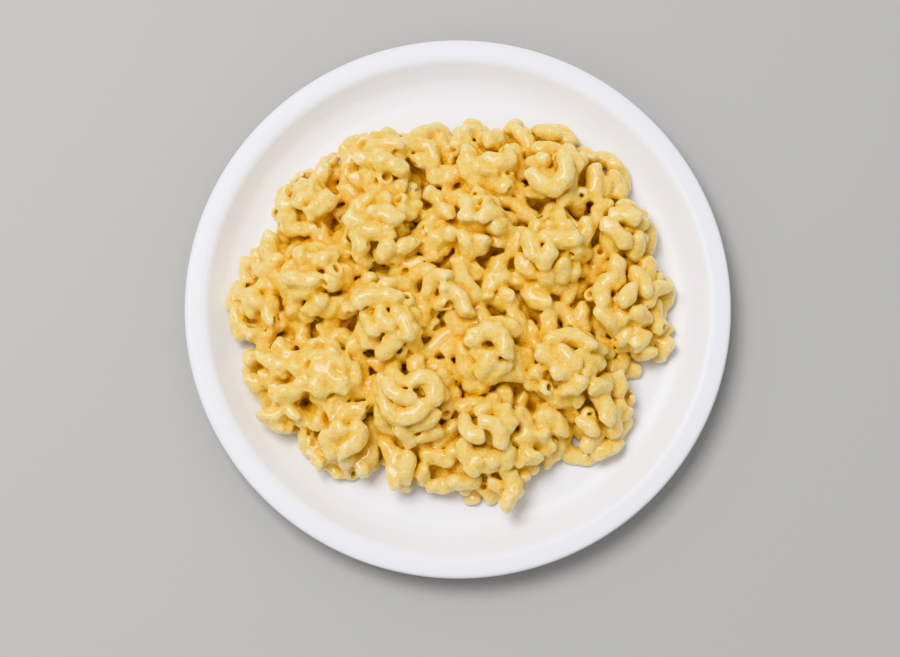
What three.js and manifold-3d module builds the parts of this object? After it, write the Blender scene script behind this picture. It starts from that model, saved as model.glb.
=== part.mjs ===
// A helping of macaroni and cheese on a nine-inch dinner plate.
//
// Millimetres, +Z up, origin on the table under the middle of the plate. The plate is one
// turned solid. The food is one solid too: a core heaped up as overlapping spoonfuls, with
// the elbow macaroni that shows fused on to it. The elbows on top are laid one by one. The
// rest are poured in under and round them and settle, as chains of balls that push each other
// apart inside the spoonfuls.

import * as THREE from "three";
import { mergeVertices } from "three/addons/utils/BufferGeometryUtils.js";
import Module from "manifold-3d";

const wasm = await Module();
wasm.setup();

// ---- sizes of the plate ------------------------------------------------------------

const PLATE_RADIUS = 114.3;
const PLATE_HEIGHT = 15.6;
const PLATE_SIDES = 48;
const RIM_WIDTH = 9.4; // the nearly flat border outside the well's wall
const RIM_RISE = 0.6; // how much the border climbs towards its edge
const RIM_THICKNESS = 3.6;
const SHOULDER_ROUND = 1.6; // half-width of the rounding between the border and the wall
const EDGE_ROUND = 2.4; // width of the rounding on top of the edge
const WELL_RADIUS = 89; // the flat floor of the well
const WELL_FLOOR = 7; // its height over the table
const WELL_CURVE = 18; // radius of the curve from the floor up into the wall
const CURVE_CENTRE = WELL_FLOOR + WELL_CURVE; // height of the middle of that curve
const STEEPEST = (-56 * Math.PI) / 180; // where on its circle the curve ends
const WALL_THICKNESS = 4;
const FOOT_RADIUS = 69;
const FOOT_WIDTH = 5;
const FOOT_RECESS = 2; // how far the middle stands clear of the table

// ---- sizes of the macaroni ---------------------------------------------------------

const TUBE_RADIUS = 3.5; // with its coat of sauce
const PASTA_RADIUS = 3.7; // of the few-sided tube that stands for it, at its corners
const TUBE_SIDES = 5;
const STEP_TURN = 0.95; // radians that each straight step of a tube bends by, at most
const BORE_RADIUS = 1.6;
const BORE_DEPTH = 3;
const BORE_LEAST_LIFT = 0.1; // of an open end's direction over the level, for a bore that shows
const BORE_CLEARANCE = 1.5; // from a bore's mouth to the core
const BEND_RADII = [5, 9.5]; // of the middle line, from the tightest elbow to the widest
const ARC_LENGTHS = [10.5, 18]; // along the middle line, from the shortest to the longest

// ---- shape of the heap -------------------------------------------------------------

// The spoonfuls round the edge: degrees from +X, and how far each reaches from the middle.
const EDGE_SPOONFULS = [
  [5, 91], [28, 86], [43, 93], [60, 90], [71, 85], [88, 80], [105, 81], [116, 80], [127, 87],
  [141, 88], [169, 91], [182, 97], [201, 95], [212, 94], [234, 91], [254, 83], [271, 82],
  [287, 88], [304, 77], [319, 92], [328, 87], [352, 93],
];
const EDGE_RADIUS = 16;
const EDGE_HEIGHT = 19;
// The clumps heaped up inside them: x, y, radius and height over the well.
const CLUMPS = [
  [-28, -9, 22, 38], [-3, 2, 18, 35], [40, 52, 20, 31], [-58, 8, 22, 31], [-30, 28, 22, 34],
  [-30, 55, 19, 28], [-18, -41, 22, 33], [-52, -31, 19, 29], [-46, -56, 18, 25],
  [45, -27, 22, 31], [14, -22, 19, 34], [38, 21, 22, 34], [6, 31, 20, 35], [10, 56, 19, 28],
  [64, 30, 19, 27], [66, 2, 20, 27], [14, -55, 21, 28], [-62, 36, 18, 25],
];
const MOUND = [0, 0, 78, 24]; // the low heap that they all lie on
// The elbows laid on top: x, y, which way the bend bulges in degrees from +X, how many degrees
// one end is lifted, the radius of the bend and the length of the middle line.
const TOP_ELBOWS = [
  [14, -19, 70, 0, 7.2, 26], [24, -10, 25, 0, 9, 16], [19.5, -41.5, 0, 10, 20, 15],
  [8, -35.5, 80, 0, 14, 12], [46.5, -17.5, 85, 0, 12, 23], [38, -26, 45, 15, 10, 17],
  [37, -36, 200, 80, 9, 12], [54.5, -29.5, 150, 70, 9, 13], [60, -18, 45, 20, 8, 11],
  [69.5, -11, -30, 0, 9, 15], [71, -25, 80, 0, 20, 13], [65.5, -44.5, 90, 20, 12, 15],
  [51.5, -61, -100, 0, 16, 18], [36.5, -49, 20, 40, 12, 12], [25.5, -63, -100, 0, 9, 20],
  [9, -66, -30, 0, 14, 15], [6.5, -45, 100, 0, 14, 13], [22, -76, 10, 0, 8, 22],
  [38, 51.5, -60, 0, 6.8, 30], [36, 64, 90, 20, 8, 14], [56, 51, 0, 0, 16, 16],
  [68, 35.5, 85, 0, 14, 14], [66, 12.5, 180, 0, 14, 15], [50, 28, -30, 0, 9, 17],
  [42, 25, -90, 0, 14, 19], [28.5, 8, 90, 20, 6.5, 18], [14.5, 11, -20, 0, 20, 17],
  [1.5, 18, 0, 0, 20, 15], [9, 38, 0, 80, 9, 12], [27, 38.5, -130, 0, 16, 15],
  [12.5, 48.5, 80, 0, 18, 19], [24, 60, 200, 0, 14, 16], [-45, 65.5, 120, 0, 14, 13],
  [-37, 57, 95, 0, 16, 17], [-29, 54.5, 65, 0, 12, 16], [-15.5, 62, 45, 0, 5, 20],
  [-45, 49, 180, 0, 5.5, 18], [-58, 50, 160, 0, 14, 19], [-67.5, 47, 0, 70, 9, 12],
  [-48, 36, 135, 70, 9, 13], [-37, 28, -110, 0, 18, 23], [-30.5, 32, 75, 0, 14, 16],
  [-24.5, 38.5, 0, 70, 9, 12], [-16.5, 35, 90, 80, 9, 12], [-5, 26, -80, 0, 14, 18],
  [-24, 17, 120, 30, 8, 15], [-50.5, 10, 200, 85, 9, 13], [-64, 6, -90, 0, 9, 16],
  [-66, 14, 0, 60, 6, 13], [-32, -4, 100, 0, 14, 20], [-22, -13, 30, 0, 9, 16],
  [-35, -12, 200, 20, 8, 14], [-12.5, -20.5, -60, 0, 16, 26], [-53.5, -10.5, -30, 0, 14, 14],
  [-57, -26, 90, 85, 9, 13], [-40.5, -33, 0, 0, 14, 18], [-57, -34, 0, 0, 12, 15],
  [-13, -38, 60, 0, 5, 21], [-9, -29.5, 100, 0, 16, 16], [-27, -46, 210, 0, 10, 18],
  [-43, -49, 110, 0, 14, 18], [-76, -36, 30, 0, 10, 16], [-73, -46, -60, 0, 7, 18],
  [-45.5, -67, 0, 75, 8, 13], [-36.5, -66, -30, 0, 9, 15], [-23.5, -70, 180, 0, 9, 16],
  [-14, -72, 0, 70, 9, 13], [-7, -65.5, 80, 0, 16, 16], [-1, -2, 45, 0, 12, 19],
  [7, -5, 45, 0, 12, 15], [-77.5, -5.5, 180, 20, 8, 14], [-78, 21, 180, 0, 12, 14],
  [75, -15, -40, 0, 9, 11], [66, -33.5, 0, 0, 14, 13], [10, -77, 150, 0, 9, 15],
  [65, 51, 20, 0, 14, 13], [78, 15, 0, 0, 12, 12], [42, 12, 0, 40, 12, 12],
  [7, 11, 160, 10, 14, 10], [3.5, 58, 180, 0, 14, 15], [15, 58, -90, 0, 7, 16],
  [-7.5, 64, 30, 0, 9, 13], [-71, 36, 200, 0, 9, 12], [-58, 38, -45, 0, 16, 16],
  [-31, 39, 0, 80, 9, 12], [-19, 45, 180, 0, 12, 10], [-7, 51, 80, 0, 16, 15],
  [-14, 21, 45, 0, 10, 15], [-50, 18, 90, 0, 14, 13], [-89, 11, 180, 0, 14, 15],
  [-76, 4, 90, 0, 8, 15], [-15, -6, 0, 0, 12, 14], [-46, -18, 80, 0, 14, 11],
  [-65, -34, 180, 20, 9, 13], [-47, -33, 0, 0, 20, 17], [-17, -48, -60, 0, 9, 16],
  [-82, -25, 120, 0, 9, 12], [-72, -24, 30, 0, 14, 13], [-90, -9, 180, 0, 10, 16],
  [-66, -6, 60, 0, 9, 14], [-56, -64, 200, 0, 9, 14], [-5, -75.5, -80, 0, 12, 12],
];
// The gaps that the elbows leave between them: x, y and radius.
const GAPS = [
  [13.6, -6.5, 3], [32, -8, 2], [42.5, -8, 2], [-1, -23, 2.4], [31, -43.5, 1.6], [51, -54.5, 1.8],
  [-1, -57.5, 2], [25, -38, 1.2], [36, -21, 1.3], [62.5, -15.5, 1.4], [32.5, 40.7, 2],
  [24, 51, 2.2], [51, 51.4, 2.2], [21.5, 31, 1.8], [15.5, 20, 2], [57.3, 26.5, 2], [63.5, 4, 1.5],
  [55.5, 6.5, 1.3], [-19, 55.5, 2.2], [-7.7, 48.5, 1.4], [-13, 41.7, 1.5], [-10.5, 34.3, 1.5],
  [-3.6, 38, 1.6], [-19.5, 29.3, 1.8], [-2.6, 59, 1.8], [-8.8, 15, 1.8], [-6, 10.5, 2.3],
  [-31.3, 14.5, 1.3], [-54, 31, 1.8], [-28, 46, 1.6], [-44, -12, 2.2], [-62, -43.5, 2.2],
  [-20, -31, 1.4], [-37.5, -41, 1.5], [-62, -15, 1.4], [-67, -23.5, 1.5], [-36, -57, 1.6],
  [-42.7, 7.5, 2],
];
const CORE_DEPTH = 4; // of the core under the outside of the heap
const CORE_DETAIL = 5; // each edge of its icosahedron is split into one more than this
const PLATE_GAP = 0.3; // between the food and the plate

// ---- how the elbows are poured and settle ------------------------------------------

const LAYER_STEP = 5; // between the layers that they start in
const ELBOW_SPACING = 10.5; // within a layer
const LAYER_TURN = 1.1; // radians from one layer to the next
const GOLDEN_ANGLE = Math.PI * (3 - Math.sqrt(5));
const MOST_TILT = 50; // degrees that an elbow starts out of the level
const BALLS = 5; // along each elbow
const BALLS_SPAN = 0.86; // share of its length between the first ball and the last
const CLOSENESS = 0.9; // how near two tubes come, as a share of touching
const SETTLE_STEPS = 60;
const FIRMNESS = 1.6; // share of the balls' mean push that an elbow gives way by
const FLOAT = 0.5; // share of its way to the outside that an outer elbow rises at each step
const FLOAT_LEAST = 0.5; // share of the way out from which it rises no faster
const SHOWN_SPACING = 13.5; // of the grid that picks the poured elbows fused on to the core

const radians = (degrees) => (degrees * Math.PI) / 180;
const between = ([low, high], share) => low + (high - low) * share;

/** A repeatable random number from 0 to 1: draw number k for piece number i. */
function draw(i, k) {
  const s = Math.sin((i + 1) * 12.9898 + (k + 1) * 78.233) * 43758.5453;
  return s - Math.floor(s);
}

// ---- solids ------------------------------------------------------------------------

/** A geometry with nothing but its places, each one held once. */
function bare(geometry) {
  geometry.deleteAttribute("normal");
  geometry.deleteAttribute("uv");
  return mergeVertices(geometry);
}

/** A closed geometry as a manifold-3d solid. */
function solid(geometry) {
  const { attributes, index } = bare(geometry);
  const mesh = new wasm.Mesh({
    numProp: 3,
    vertProperties: new Float32Array(attributes.position.array),
    triVerts: new Uint32Array(index.array),
  });
  return new wasm.Manifold(mesh);
}

/** A manifold-3d solid as a geometry. */
function geometryOf(body) {
  const mesh = body.getMesh();
  const geometry = new THREE.BufferGeometry();
  geometry.setAttribute("position", new THREE.BufferAttribute(mesh.vertProperties, 3));
  geometry.setIndex(new THREE.BufferAttribute(mesh.triVerts, 1));
  geometry.computeVertexNormals();
  return geometry;
}

/** A tube of the given radius with closed ends, along a curve. */
function tube(curve, radius, steps) {
  const section = new THREE.Shape();
  for (let k = 0; k < TUBE_SIDES; k++) {
    const angle = (2 * Math.PI * k) / TUBE_SIDES;
    const corner = [radius * Math.cos(angle), radius * Math.sin(angle)];
    if (k === 0) section.moveTo(...corner);
    else section.lineTo(...corner);
  }
  section.closePath();
  return solid(new THREE.ExtrudeGeometry(section, { extrudePath: curve, steps }));
}

// ---- plate -------------------------------------------------------------------------

/** Draws the top of the well, from its wall in to the axis, raised all over by a gap. */
function drawWell(section, gap) {
  section.absarc(WELL_RADIUS, CURVE_CENTRE, WELL_CURVE - gap, STEEPEST, -Math.PI / 2, true);
  section.lineTo(0, WELL_FLOOR + gap);
}

/** The plate's section: out along the underside, round the edge and in along the top. */
function plateSection() {
  const underside = WELL_FLOOR - WALL_THICKNESS;
  const curveOutside = WELL_CURVE + WALL_THICKNESS;
  const footInside = FOOT_RADIUS - FOOT_WIDTH;
  const shoulder = PLATE_RADIUS - RIM_WIDTH;
  const shoulderTop = PLATE_HEIGHT - RIM_RISE;
  const rimBottom = PLATE_HEIGHT - RIM_THICKNESS;
  const edge = PLATE_HEIGHT - RIM_THICKNESS / 2;

  const section = new THREE.Path();
  section.moveTo(0, FOOT_RECESS);
  section.lineTo(footInside - 1, FOOT_RECESS);
  section.lineTo(footInside, 0);
  section.lineTo(FOOT_RADIUS - 1, 0);
  section.quadraticCurveTo(FOOT_RADIUS, underside, FOOT_RADIUS + FOOT_WIDTH, underside);
  section.absarc(WELL_RADIUS, CURVE_CENTRE, curveOutside, -Math.PI / 2, STEEPEST);
  section.quadraticCurveTo(shoulder + 2, rimBottom - 1, PLATE_RADIUS - EDGE_ROUND, rimBottom);
  section.quadraticCurveTo(PLATE_RADIUS, rimBottom, PLATE_RADIUS, edge);
  section.quadraticCurveTo(PLATE_RADIUS, PLATE_HEIGHT, PLATE_RADIUS - EDGE_ROUND, PLATE_HEIGHT);
  section.lineTo(shoulder + SHOULDER_ROUND, shoulderTop + SHOULDER_ROUND / 4);
  section.quadraticCurveTo(
    shoulder,
    shoulderTop,
    shoulder - SHOULDER_ROUND,
    shoulderTop - SHOULDER_ROUND,
  );
  drawWell(section, 0);
  return section.getPoints(2);
}

function makePlate() {
  const geometry = new THREE.LatheGeometry(plateSection(), PLATE_SIDES);
  geometry.rotateX(Math.PI / 2);
  const porcelain = new THREE.MeshStandardMaterial({ color: 0xf2f1ee, roughness: 0.12 });
  const plate = new THREE.Mesh(geometry, porcelain);
  plate.name = "plate";
  return plate;
}

// ---- spoonfuls ---------------------------------------------------------------------

/** Every spoonful: half an ellipsoid that stands on the floor of the well. */
function makeSpoonfuls() {
  const edge = EDGE_SPOONFULS.map(([degrees, reach]) => [
    (reach - EDGE_RADIUS) * Math.cos(radians(degrees)),
    (reach - EDGE_RADIUS) * Math.sin(radians(degrees)),
    EDGE_RADIUS,
    EDGE_HEIGHT,
  ]);
  return [...edge, ...CLUMPS, MOUND].map(([x, y, radius, height]) => ({ x, y, radius, height }));
}

/** The spoonful that a point is deepest in, once each is pared by a depth all round, and the
 * point's share of the way from its middle to its outside. */
function deepest(spoonfuls, point, depth) {
  let best = { share: Infinity };
  for (const spoonful of spoonfuls) {
    const wide = spoonful.radius - depth;
    const high = spoonful.height - depth;
    const share = Math.hypot(
      (point.x - spoonful.x) / wide,
      (point.y - spoonful.y) / wide,
      (point.z - WELL_FLOOR) / high,
    );
    if (share < best.share) best = { share, spoonful };
  }
  return best;
}

/** About how far out of the pared spoonfuls a point stands, or less than 0 inside them. */
function standsOut(spoonfuls, point, depth) {
  const { share, spoonful } = deepest(spoonfuls, point, depth);
  const wide = (spoonful.radius - depth) ** 2;
  const high = (spoonful.height - depth) ** 2;
  const steepness = Math.hypot(
    (point.x - spoonful.x) / wide,
    (point.y - spoonful.y) / wide,
    (point.z - WELL_FLOOR) / high,
  );
  return ((share - 1) * share) / steepness;
}

/** How high the pared spoonfuls stand over the well's floor at a place. */
function heightAt(spoonfuls, x, y, depth) {
  const heights = spoonfuls.map((spoonful) => {
    const share = Math.hypot(x - spoonful.x, y - spoonful.y) / (spoonful.radius - depth);
    return share < 1 ? (spoonful.height - depth) * Math.sqrt(1 - share ** 2) : 0;
  });
  return Math.max(...heights);
}

// ---- elbows ------------------------------------------------------------------------

/** The middle line of an elbow: an arc in its own plane, turned and placed. */
class Bend extends THREE.Curve {
  constructor(radius, sweep) {
    super();
    this.radius = radius;
    this.sweep = sweep;
    this.centre = new THREE.Vector3();
    this.turn = new THREE.Quaternion();
    this.place = new THREE.Vector3();
  }

  getPoint(t) {
    return this.local(t).applyQuaternion(this.turn).add(this.place);
  }

  local(t) {
    const angle = this.sweep * (t - 0.5);
    const arc = new THREE.Vector3(Math.cos(angle), Math.sin(angle), 0);
    return arc.multiplyScalar(this.radius).sub(this.centre);
  }
}

/** An elbow centred on a place, of a given bend and length, turned about Z, Y and X by degrees. */
function makeElbow({ place, heading, roll, pitch, bend, length }) {
  const elbow = new Bend(bend, length / bend);
  const along = (k) => 0.5 + BALLS_SPAN * (k / (BALLS - 1) - 0.5);
  const steps = Array.from({ length: BALLS }, (_, k) => along(k));
  const middle = new THREE.Vector3();
  for (const t of steps) middle.addScaledVector(elbow.local(t), 1 / BALLS);
  elbow.centre = middle;
  elbow.balls = steps.map((t) => elbow.local(t));
  elbow.spread = elbow.balls.reduce((sum, ball) => sum + ball.lengthSq(), 0);
  const turns = new THREE.Euler(radians(pitch), radians(roll), radians(heading), "ZYX");
  elbow.turn.setFromEuler(turns);
  elbow.place.copy(place);
  return elbow;
}

/** The elbows on top, each with its middle or its lifted end at the surface. They hold still. */
function layElbows(spoonfuls) {
  return TOP_ELBOWS.map(([x, y, heading, lift, bend, length]) => {
    const sunk = (length / 2 - TUBE_RADIUS) * Math.sin(radians(lift));
    const z = WELL_FLOOR + heightAt(spoonfuls, x, y, TUBE_RADIUS) - sunk;
    const place = new THREE.Vector3(x, y, z);
    const elbow = makeElbow({ place, heading, roll: 0, pitch: lift, bend, length });
    return Object.assign(elbow, { held: true, rise: 0 });
  });
}

/** Elbow number i of those poured, of its own size and lie, centred on a place. */
function pouredElbow(i, place) {
  return makeElbow({
    place,
    heading: 360 * draw(i, 2),
    roll: MOST_TILT * (2 * draw(i, 4) - 1),
    pitch: MOST_TILT * (2 * draw(i, 3) - 1),
    bend: between(BEND_RADII, draw(i, 0)),
    length: between(ARC_LENGTHS, draw(i, 1)),
  });
}

/** Elbows in layers, one under the other from the outside of the spoonfuls down, each layer
 * spread as a sunflower's seeds. */
function pourElbows(spoonfuls) {
  const elbows = [];
  const top = Math.max(...spoonfuls.map((spoonful) => spoonful.height));
  const seedStep = ELBOW_SPACING / Math.sqrt(Math.PI);
  const seeds = (PLATE_RADIUS / seedStep) ** 2;
  for (let layer = 0; layer * LAYER_STEP < top; layer++) {
    for (let n = 0; n < seeds; n++) {
      const distance = seedStep * Math.sqrt(n + 0.5);
      const angle = n * GOLDEN_ANGLE + layer * LAYER_TURN;
      const x = distance * Math.cos(angle);
      const y = distance * Math.sin(angle);
      const height = heightAt(spoonfuls, x, y, TUBE_RADIUS) - layer * LAYER_STEP;
      if (height <= TUBE_RADIUS) continue;
      const place = new THREE.Vector3(x, y, WELL_FLOOR + height);
      const elbow = pouredElbow(TOP_ELBOWS.length + elbows.length, place);
      elbows.push(Object.assign(elbow, { held: false, rise: layer === 0 ? FLOAT : 0 }));
    }
  }
  return elbows;
}

/** Where an elbow's balls are now. */
function ballsOf(elbow) {
  return elbow.balls.map((ball) => ball.clone().applyQuaternion(elbow.turn).add(elbow.place));
}

/** How far each ball has to go to clear the balls of other elbows. */
function pushesApart(at) {
  const touching = 2 * TUBE_RADIUS * CLOSENESS;
  const push = at.map(() => new THREE.Vector3());
  const apart = new THREE.Vector3();
  for (let a = 0; a < at.length; a++) {
    const nextElbow = (Math.floor(a / BALLS) + 1) * BALLS;
    for (let b = nextElbow; b < at.length; b++) {
      const distance = apart.subVectors(at[a], at[b]).length();
      if (distance >= touching || distance === 0) continue;
      apart.multiplyScalar((touching - distance) / (2 * distance));
      push[a].add(apart);
      push[b].sub(apart);
    }
  }
  return push;
}

/** The lowest that a ball lies in the well: on its floor or against the curve of its wall. */
function lowest(ball) {
  const room = WELL_CURVE - TUBE_RADIUS;
  const out = Math.min(Math.max(0, Math.hypot(ball.x, ball.y) - WELL_RADIUS), room);
  return CURVE_CENTRE - Math.sqrt(room ** 2 - out ** 2);
}

/** Adds to a ball's push what brings it back over the plate and inside the spoonfuls, or, for
 * an elbow that rises, up to their outside. */
function pushInside(spoonfuls, ball, rise, push) {
  push.z += Math.max(0, lowest(ball) - ball.z);
  const { share, spoonful } = deepest(spoonfuls, ball, TUBE_RADIUS);
  const beyond = 1 - 1 / Math.max(share, FLOAT_LEAST);
  const inwards = new THREE.Vector3(spoonful.x, spoonful.y, WELL_FLOOR).sub(ball);
  push.addScaledVector(inwards, beyond > 0 ? beyond : beyond * rise);
}

/** Adds to a ball's push what brings it out of the upright gaps. */
function pushFromGaps(ball, push) {
  for (const [x, y, radius] of GAPS) {
    const distance = Math.hypot(ball.x - x, ball.y - y);
    const short = radius + TUBE_RADIUS - distance;
    if (short <= 0) continue;
    push.x += ((ball.x - x) * short) / distance;
    push.y += ((ball.y - y) * short) / distance;
  }
}

/** Moves and turns an elbow as the pushes on its balls ask. */
function giveWay(elbow, balls, pushes) {
  const move = new THREE.Vector3();
  const spin = new THREE.Vector3();
  balls.forEach((ball, k) => {
    move.addScaledVector(pushes[k], FIRMNESS / BALLS);
    spin.addScaledVector(ball.sub(elbow.place).cross(pushes[k]), 1 / elbow.spread);
  });
  elbow.place.add(move);
  const angle = spin.length();
  const by = new THREE.Quaternion().setFromAxisAngle(spin.normalize(), angle);
  elbow.turn.premultiply(by).normalize();
}

/** Lets the elbows push each other apart and into the spoonfuls, all but the held ones. */
function settle(elbows, spoonfuls) {
  for (let step = 0; step < SETTLE_STEPS; step++) {
    const at = elbows.flatMap(ballsOf);
    const push = pushesApart(at);
    at.forEach((ball, k) => {
      const { rise } = elbows[Math.floor(k / BALLS)];
      pushInside(spoonfuls, ball, rise, push[k]);
      pushFromGaps(ball, push[k]);
    });
    elbows.forEach((elbow, i) => {
      if (elbow.held) return;
      const own = [i * BALLS, (i + 1) * BALLS];
      giveWay(elbow, at.slice(...own), push.slice(...own));
    });
  }
}

// ---- food --------------------------------------------------------------------------

/** How far the core's foot reaches from the middle, where the ray at an angle leaves the last
 * of the pared spoonfuls. */
function coreReach(spoonfuls, angle) {
  const exits = spoonfuls.map(({ x, y, radius }) => {
    const along = x * Math.cos(angle) + y * Math.sin(angle);
    const chord = (radius - CORE_DEPTH) ** 2 + along ** 2 - x ** 2 - y ** 2;
    return chord > 0 ? along + Math.sqrt(chord) : 0;
  });
  return Math.max(...exits);
}

/** The solid middle of the heap: a ball whose upper half is spread over the core's foot, with
 * each part of the foot as finely split as the next, and raised to the core's height. */
function makeCore(spoonfuls) {
  const ball = bare(new THREE.IcosahedronGeometry(1, CORE_DETAIL));
  const at = ball.attributes.position;
  const p = new THREE.Vector3();
  for (let k = 0; k < at.count; k++) {
    p.fromBufferAttribute(at, k);
    const angle = Math.atan2(p.y, p.x);
    const distance = Math.sqrt(1 - Math.abs(p.z)) * coreReach(spoonfuls, angle);
    const x = distance * Math.cos(angle);
    const y = distance * Math.sin(angle);
    const rise = p.z > 0 ? heightAt(spoonfuls, x, y, CORE_DEPTH) : p.z * CORE_DEPTH;
    at.setXYZ(k, x, y, WELL_FLOOR + rise);
  }
  return solid(ball);
}

/** How proud of the core an elbow stands, as the mean over its balls. */
function pride(elbow, spoonfuls) {
  const stands = ballsOf(elbow).map((ball) => standsOut(spoonfuls, ball, CORE_DEPTH));
  return stands.reduce((sum, stand) => sum + stand, 0) / BALLS;
}

/** The square of a grid laid over the heap that an elbow's place is in. */
function squareOf(elbow) {
  const { x, y } = elbow.place;
  return `${Math.round(x / SHOWN_SPACING)},${Math.round(y / SHOWN_SPACING)}`;
}

/** The elbows that show: those laid on top, and the proudest in each square without one. */
function shownElbows(laid, poured, spoonfuls) {
  const taken = new Set(laid.map(squareOf));
  const proudest = new Map();
  for (const elbow of poured) {
    const square = squareOf(elbow);
    const rival = proudest.get(square);
    const beaten = rival && pride(rival, spoonfuls) >= pride(elbow, spoonfuls);
    if (!taken.has(square) && !beaten) proudest.set(square, elbow);
  }
  return [...laid, ...proudest.values()];
}

/** The straight bore at one end of an elbow, 0 or 1, from its bottom to just outside. */
function boreAt(elbow, end) {
  const outwards = end === 0 ? -1 : 1;
  const length = elbow.radius * elbow.sweep;
  const bottom = elbow.getPoint(end - (outwards * BORE_DEPTH) / length);
  const mouth = elbow.getPoint(end + outwards / length);
  return new THREE.LineCurve3(bottom, mouth);
}

/** Plugs for the open ends that look up or outwards into free air. */
function makeBores(elbows, spoonfuls) {
  const bores = [];
  for (const elbow of elbows) {
    const others = elbows.filter((other) => other !== elbow).flatMap(ballsOf);
    for (const end of [0, 1]) {
      const bore = boreAt(elbow, end);
      const looks = bore.getTangent(0);
      const ahead = bore.v2.clone().add(looks);
      const looksUp = looks.z > BORE_LEAST_LIFT;
      const clearOfOthers = others.every((ball) => ball.distanceTo(ahead) > TUBE_RADIUS + 1);
      const clearOfCore = standsOut(spoonfuls, bore.v2, CORE_DEPTH) > BORE_CLEARANCE;
      if (looksUp && clearOfOthers && clearOfCore) bores.push(tube(bore, BORE_RADIUS, 1));
    }
  }
  return bores;
}

/** What lies under the food: the plate's well, raised by the gap, down to below the table. */
function makeUnderside() {
  const section = new THREE.Path();
  section.moveTo(0, -WELL_FLOOR);
  section.lineTo(PLATE_RADIUS, -WELL_FLOOR);
  section.lineTo(PLATE_RADIUS, PLATE_HEIGHT);
  drawWell(section, PLATE_GAP);
  const underside = new THREE.LatheGeometry(section.getPoints(2), PLATE_SIDES);
  underside.rotateX(Math.PI / 2);
  return solid(underside);
}

/** The largest body of a solid, without loose scraps and with its sealed hollows filled. */
function largestBody(body) {
  const bodies = body.decompose();
  return bodies.reduce((largest, next) => (next.volume() > largest.volume() ? next : largest));
}

function makeFood() {
  const spoonfuls = makeSpoonfuls();
  const laid = layElbows(spoonfuls);
  const poured = pourElbows(spoonfuls);
  settle([...laid, ...poured], spoonfuls);
  const shown = shownElbows(laid, poured, spoonfuls);
  const tubes = shown.map((elbow) => tube(elbow, PASTA_RADIUS, Math.ceil(elbow.sweep / STEP_TURN)));
  const heap = wasm.Manifold.union([makeCore(spoonfuls), ...tubes]);
  const cuts = wasm.Manifold.union([makeUnderside(), ...makeBores(shown, spoonfuls)]);
  const sauced = new THREE.MeshStandardMaterial({ color: 0xe6bd63, roughness: 0.35 });
  const food = new THREE.Mesh(geometryOf(largestBody(heap.subtract(cuts))), sauced);
  food.name = "macaroni_cheese";
  return food;
}

const macAndCheese = new THREE.Group();
macAndCheese.add(makePlate(), makeFood());
export default macAndCheese;
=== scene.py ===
"""A heaped helping of macaroni and cheese on a dinner plate.

Lengths in this file are millimetres; meshes are put into Blender in metres. +Z is up, and the
origin is on the table under the middle of the plate.
"""

import math

import bpy
import numpy as np
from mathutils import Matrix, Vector


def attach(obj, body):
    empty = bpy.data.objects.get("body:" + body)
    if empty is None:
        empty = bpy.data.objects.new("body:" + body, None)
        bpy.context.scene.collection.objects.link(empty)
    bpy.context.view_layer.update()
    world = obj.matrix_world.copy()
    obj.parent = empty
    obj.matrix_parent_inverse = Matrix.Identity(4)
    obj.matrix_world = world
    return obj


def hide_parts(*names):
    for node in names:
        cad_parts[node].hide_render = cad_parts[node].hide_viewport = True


bl_info = {
    "name": "Macaroni and Cheese",
    "version": (1, 0, 0),
    "blender": (4, 5, 0),
    "location": "3D View > Sidebar > Macaroni",
    "description": "A heap of sauced elbow macaroni on a porcelain plate, with its floor and lights",
    "category": "Add Mesh",
}

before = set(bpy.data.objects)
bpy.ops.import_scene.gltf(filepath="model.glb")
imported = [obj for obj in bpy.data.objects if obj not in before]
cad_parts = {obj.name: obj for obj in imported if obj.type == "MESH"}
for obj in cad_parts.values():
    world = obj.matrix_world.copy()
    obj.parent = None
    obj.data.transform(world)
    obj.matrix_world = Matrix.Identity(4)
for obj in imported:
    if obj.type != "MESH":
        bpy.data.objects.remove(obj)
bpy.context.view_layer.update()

MM = 0.001

# ---- sizes of the plate --------------------------------------------------------------

PLATE_RADIUS = 114.3
PLATE_HEIGHT = 15.6
PLATE_SIDES = 256  # of the circle that it is turned in
RIM_WIDTH = 9.4  # the nearly flat border outside the well's wall
RIM_RISE = 0.6  # how much the border climbs towards its edge
RIM_THICKNESS = 3.6
SHOULDER_ROUND = 1.6  # where the border turns down into the well
SHOULDER_LIFT = 0.4  # of the border where that turn starts
EDGE_ROUND = 2.4
WELL_RADIUS = 89.0
WELL_FLOOR = 7.0
WELL_CURVE = 18.0  # the radius with which the floor turns up into the wall
CURVE_CENTRE = WELL_FLOOR + WELL_CURVE
STEEPEST = -56.0  # degrees: where on its circle the well's curve ends
WALL_THICKNESS = 4.0
UNDER_TURN = (2.0, -1.0)  # from under the shoulder to the corner that the underside rounds
FOOT_RADIUS = 69.0
FOOT_WIDTH = 5.0
FOOT_RECESS = 2.0
FOOT_ROUND = 1.0  # how far in from the foot's sides the bends round it start
FOOT_SLOPE = 0.8  # share of the recess at which its inner side starts to drop
FOOT_EASE = 0.4  # of its inner lower edge, sideways
FOOT_LIFT = 0.3  # of that edge's middle
WELL_RINGS = (0.9, 0.6, 0.3, 0)  # of points on the well's flat floor, as shares of its radius
UNDER_STEPS = 16  # along the outside of the well's curve
WELL_STEPS = 20  # along its inside
BEND_STEPS = 8  # round each other bend
EDGE_STEPS = 6  # round each half of the outer edge
BORDER_STEPS = 4  # across the border
PLATE_GAP = 0.3  # between the food and the plate

# ---- sizes of the macaroni -----------------------------------------------------------

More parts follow.
